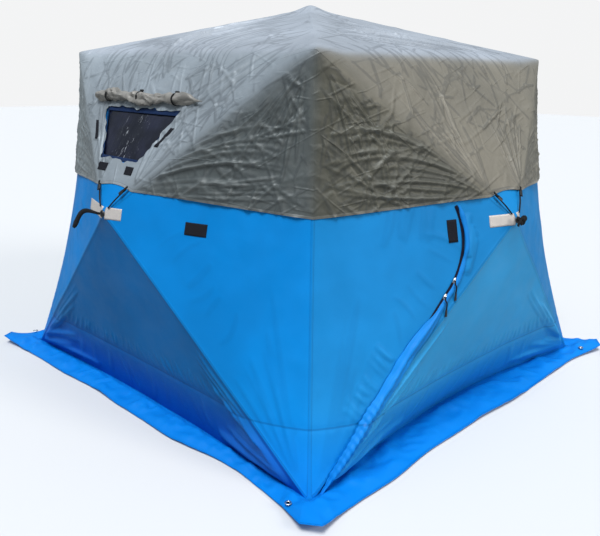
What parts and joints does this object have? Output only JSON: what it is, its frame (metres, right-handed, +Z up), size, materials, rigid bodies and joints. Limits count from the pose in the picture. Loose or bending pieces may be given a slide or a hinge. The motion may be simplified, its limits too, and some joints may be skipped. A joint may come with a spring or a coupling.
{
  "type": "ice fishing shelter",
  "caption": "Square hub-style pop-up ice fishing shelter with sprung wall and roof hubs, a half rain cover, a zipped door, a window and a snow skirt.",
  "frame": {"origin": "on the ground at the middle of the square floor", "axes": "+Z up; -Y out through the window wall (front); +X out through the door wall (right)"},
  "size_m": [2.9178, 2.995, 2.065],
  "materials": {
    "skin": "woven oxford fabric, matte",
    "skirt": "thin coated fabric",
    "cover": "silver-coated crinkled fabric",
    "pole": "pultruded fibreglass",
    "hub": "moulded nylon",
    "webbing": "black webbing",
    "zip": "dark zip tape",
    "window": "clear film, smoky",
    "metal": "bright nickel"
  },
  "bodies": {
    "root": {"tent_seam_skin": "skin", "rain_cover": "cover", "window_cover_roll": "cover", "snow_skirt": "skirt", "skirt_grommet": "metal"},
    "front_hub": {"front_hub": "hub"},
    "front_lower_panel": {"front_lower_panel": "skin", "front_pole_lower_right": "pole"},
    "front_right_panel": {"front_right_panel": "skin", "front_pole_upper_right": "pole"},
    "front_upper_panel": {"front_upper_panel": "skin", "front_pole_upper_left": "pole", "window_pane": "window"},
    "front_left_panel": {"front_left_panel": "skin", "front_pole_lower_left": "pole"},
    "right_hub": {"right_hub": "hub"},
    "right_lower_panel": {"right_lower_panel": "skin", "right_pole_lower_right": "pole"},
    "right_right_panel": {"right_right_panel": "skin", "right_pole_upper_right": "pole"},
    "right_upper_panel": {"right_upper_panel": "skin", "right_pole_upper_left": "pole"},
    "right_left_panel": {"right_left_panel": "skin", "right_pole_lower_left": "pole", "door_zip_tape": "zip", "storm_flap": "skirt"},
    "back_hub": {"back_hub": "hub"},
    "back_lower_panel": {"back_lower_panel": "skin", "back_pole_lower_right": "pole"},
    "back_right_panel": {"back_right_panel": "skin", "back_pole_upper_right": "pole"},
    "back_upper_panel": {"back_upper_panel": "skin", "back_pole_upper_left": "pole"},
    "back_left_panel": {"back_left_panel": "skin", "back_pole_lower_left": "pole"},
    "left_hub": {"left_hub": "hub"},
    "left_lower_panel": {"left_lower_panel": "skin", "left_pole_lower_right": "pole"},
    "left_right_panel": {"left_right_panel": "skin", "left_pole_upper_right": "pole"},
    "left_upper_panel": {"left_upper_panel": "skin", "left_pole_upper_left": "pole"},
    "left_left_panel": {"left_left_panel": "skin", "left_pole_lower_left": "pole"},
    "roof_hub": {"roof_hub": "hub"},
    "roof_front_panel": {"roof_front_panel": "skin", "roof_pole_front_right": "pole"},
    "roof_right_panel": {"roof_right_panel": "skin", "roof_pole_back_right": "pole"},
    "roof_back_panel": {"roof_back_panel": "skin", "roof_pole_back_left": "pole"},
    "roof_left_panel": {"roof_left_panel": "skin", "roof_pole_front_left": "pole"},
    "door_flap": {"door_flap": "skin"},
    "zip_slider_lower": {"zip_slider_lower": "metal"},
    "zip_slider_upper": {"zip_slider_upper": "metal"},
    "front_pull_strap": {"front_pull_strap": "webbing"},
    "right_pull_strap": {"right_pull_strap": "webbing"},
    "back_pull_strap": {"back_pull_strap": "webbing"},
    "left_pull_strap": {"left_pull_strap": "webbing"}
  },
  "joints": [
    {"name": "front_hub_pop", "type": "slide", "parent": "root", "child": "front_hub", "axis": [0, 0.9887, -0.1498], "range_m": [0, 0.64]},
    {"name": "front_lower_fold", "type": "hinge", "parent": "root", "child": "front_lower_panel", "pos_m": [-1.2, -1.2, 0], "axis": [-1, 0, 0], "range_deg": [-0.5, 35.99]},
    {"name": "front_right_fold", "type": "hinge", "parent": "root", "child": "front_right_panel", "pos_m": [1.2, -1.2, 0], "axis": [0.1481, -0.1481, -0.9778], "range_deg": [-0.5, 34.75]},
    {"name": "front_upper_fold", "type": "hinge", "parent": "root", "child": "front_upper_panel", "pos_m": [0.931, -0.931, 1.776], "axis": [1, 0, 0], "range_deg": [-0.5, 44.29]},
    {"name": "front_left_fold", "type": "hinge", "parent": "root", "child": "front_left_panel", "pos_m": [-0.931, -0.931, 1.776], "axis": [0.1481, 0.1481, 0.9778], "range_deg": [-0.5, 34.75]},
    {"name": "right_hub_pop", "type": "slide", "parent": "root", "child": "right_hub", "axis": [-0.9887, 0, -0.1498], "range_m": [0, 0.64]},
    {"name": "right_lower_fold", "type": "hinge", "parent": "root", "child": "right_lower_panel", "pos_m": [1.2, -1.2, 0], "axis": [0, -1, 0], "range_deg": [-0.5, 35.99]},
    {"name": "right_right_fold", "type": "hinge", "parent": "root", "child": "right_right_panel", "pos_m": [1.2, 1.2, 0], "axis": [0.1481, 0.1481, -0.9778], "range_deg": [-0.5, 34.75]},
    {"name": "right_upper_fold", "type": "hinge", "parent": "root", "child": "right_upper_panel", "pos_m": [0.931, 0.931, 1.776], "axis": [0, 1, 0], "range_deg": [-0.5, 44.29]},
    {"name": "right_left_fold", "type": "hinge", "parent": "root", "child": "right_left_panel", "pos_m": [0.931, -0.931, 1.776], "axis": [-0.1481, 0.1481, 0.9778], "range_deg": [-0.5, 34.75]},
    {"name": "back_hub_pop", "type": "slide", "parent": "root", "child": "back_hub", "axis": [0, -0.9887, -0.1498], "range_m": [0, 0.64]},
    {"name": "back_lower_fold", "type": "hinge", "parent": "root", "child": "back_lower_panel", "pos_m": [1.2, 1.2, 0], "axis": [1, 0, 0], "range_deg": [-0.5, 35.99]},
    {"name": "back_right_fold", "type": "hinge", "parent": "root", "child": "back_right_panel", "pos_m": [-1.2, 1.2, 0], "axis": [-0.1481, 0.1481, -0.9778], "range_deg": [-0.5, 34.75]},
    {"name": "back_upper_fold", "type": "hinge", "parent": "root", "child": "back_upper_panel", "pos_m": [-0.931, 0.931, 1.776], "axis": [-1, 0, 0], "range_deg": [-0.5, 44.29]},
    {"name": "back_left_fold", "type": "hinge", "parent": "root", "child": "back_left_panel", "pos_m": [0.931, 0.931, 1.776], "axis": [-0.1481, -0.1481, 0.9778], "range_deg": [-0.5, 34.75]},
    {"name": "left_hub_pop", "type": "slide", "parent": "root", "child": "left_hub", "axis": [0.9887, 0, -0.1498], "range_m": [0, 0.64]},
    {"name": "left_lower_fold", "type": "hinge", "parent": "root", "child": "left_lower_panel", "pos_m": [-1.2, 1.2, 0], "axis": [0, 1, 0], "range_deg": [-0.5, 35.99]},
    {"name": "left_right_fold", "type": "hinge", "parent": "root", "child": "left_right_panel", "pos_m": [-1.2, -1.2, 0], "axis": [-0.1481, -0.1481, -0.9778], "range_deg": [-0.5, 34.75]},
    {"name": "left_upper_fold", "type": "hinge", "parent": "root", "child": "left_upper_panel", "pos_m": [-0.931, -0.931, 1.776], "axis": [0, -1, 0], "range_deg": [-0.5, 44.29]},
    {"name": "left_left_fold", "type": "hinge", "parent": "root", "child": "left_left_panel", "pos_m": [-0.931, 0.931, 1.776], "axis": [0.1481, -0.1481, 0.9778], "range_deg": [-0.5, 34.75]},
    {"name": "roof_hub_pop", "type": "slide", "parent": "root", "child": "roof_hub", "axis": [0, 0, -1], "range_m": [0, 0.51]},
    {"name": "roof_front_fold", "type": "hinge", "parent": "root", "child": "roof_front_panel", "pos_m": [-0.931, -0.931, 1.776], "axis": [-1, 0, 0], "range_deg": [-0.5, 31.14]},
    {"name": "roof_right_fold", "type": "hinge", "parent": "root", "child": "roof_right_panel", "pos_m": [0.931, -0.931, 1.776], "axis": [0, -1, 0], "range_deg": [-0.5, 31.14]},
    {"name": "roof_back_fold", "type": "hinge", "parent": "root", "child": "roof_back_panel", "pos_m": [0.931, 0.931, 1.776], "axis": [1, 0, 0], "range_deg": [-0.5, 31.14]},
    {"name": "roof_left_fold", "type": "hinge", "parent": "root", "child": "roof_left_panel", "pos_m": [-0.931, 0.931, 1.776], "axis": [0, 1, 0], "range_deg": [-0.5, 31.14]},
    {"name": "door_swing", "type": "hinge", "parent": "right_left_panel", "child": "door_flap", "pos_m": [1.11908, -0.77328, 1.07495], "axis": [0.1481, -0.1481, -0.9778], "range_deg": [0, 110]},
    {"name": "zip_lower_slide", "type": "slide", "parent": "right_left_panel", "child": "zip_slider_lower", "axis": [-0.0744, -0.6963, -0.7138], "range_m": [0, 0.88]},
    {"name": "zip_upper_slide", "type": "hinge", "parent": "right_left_panel", "child": "zip_slider_upper", "pos_m": [1.18157, -0.62829, 0.98677], "axis": [0.9384, -0.2912, 0.1862], "range_deg": [0, 54]},
    {"name": "front_strap_swing", "type": "hinge", "parent": "front_hub", "child": "front_pull_strap", "pos_m": [0, -1.39531, 1.04099], "axis": [-0.6234, 0.1171, 0.7731], "range_deg": [-35, 55]},
    {"name": "right_strap_swing", "type": "hinge", "parent": "right_hub", "child": "right_pull_strap", "pos_m": [1.40223, 0, 1.04204], "axis": [-0.1171, -0.6234, 0.7731], "range_deg": [-35, 55]},
    {"name": "back_strap_swing", "type": "hinge", "parent": "back_hub", "child": "back_pull_strap", "pos_m": [0, 1.39531, 1.04099], "axis": [0.6234, -0.1171, 0.7731], "range_deg": [-35, 55]},
    {"name": "left_strap_swing", "type": "hinge", "parent": "left_hub", "child": "left_pull_strap", "pos_m": [-1.39531, 0, 1.04099], "axis": [0.1171, 0.6234, 0.7731], "range_deg": [-35, 55]}
  ],
  "couplings": [
    {"joint": "front_lower_fold", "follows": "front_hub_pop", "rad_per_m": 0.96782},
    {"joint": "front_right_fold", "follows": "front_hub_pop", "rad_per_m": 0.93394},
    {"joint": "front_upper_fold", "follows": "front_hub_pop", "rad_per_m": 1.1941},
    {"joint": "front_left_fold", "follows": "front_hub_pop", "rad_per_m": 0.93394},
    {"joint": "right_lower_fold", "follows": "right_hub_pop", "rad_per_m": 0.96782},
    {"joint": "right_right_fold", "follows": "right_hub_pop", "rad_per_m": 0.93394},
    {"joint": "right_upper_fold", "follows": "right_hub_pop", "rad_per_m": 1.1941},
    {"joint": "right_left_fold", "follows": "right_hub_pop", "rad_per_m": 0.93394},
    {"joint": "back_lower_fold", "follows": "back_hub_pop", "rad_per_m": 0.96782},
    {"joint": "back_right_fold", "follows": "back_hub_pop", "rad_per_m": 0.93394},
    {"joint": "back_upper_fold", "follows": "back_hub_pop", "rad_per_m": 1.1941},
    {"joint": "back_left_fold", "follows": "back_hub_pop", "rad_per_m": 0.93394},
    {"joint": "left_lower_fold", "follows": "left_hub_pop", "rad_per_m": 0.96782},
    {"joint": "left_right_fold", "follows": "left_hub_pop", "rad_per_m": 0.93394},
    {"joint": "left_upper_fold", "follows": "left_hub_pop", "rad_per_m": 1.1941},
    {"joint": "left_left_fold", "follows": "left_hub_pop", "rad_per_m": 0.93394},
    {"joint": "roof_front_fold", "follows": "roof_hub_pop", "rad_per_m": 1.0484},
    {"joint": "roof_right_fold", "follows": "roof_hub_pop", "rad_per_m": 1.0484},
    {"joint": "roof_back_fold", "follows": "roof_hub_pop", "rad_per_m": 1.0484},
    {"joint": "roof_left_fold", "follows": "roof_hub_pop", "rad_per_m": 1.0484}
  ]
}
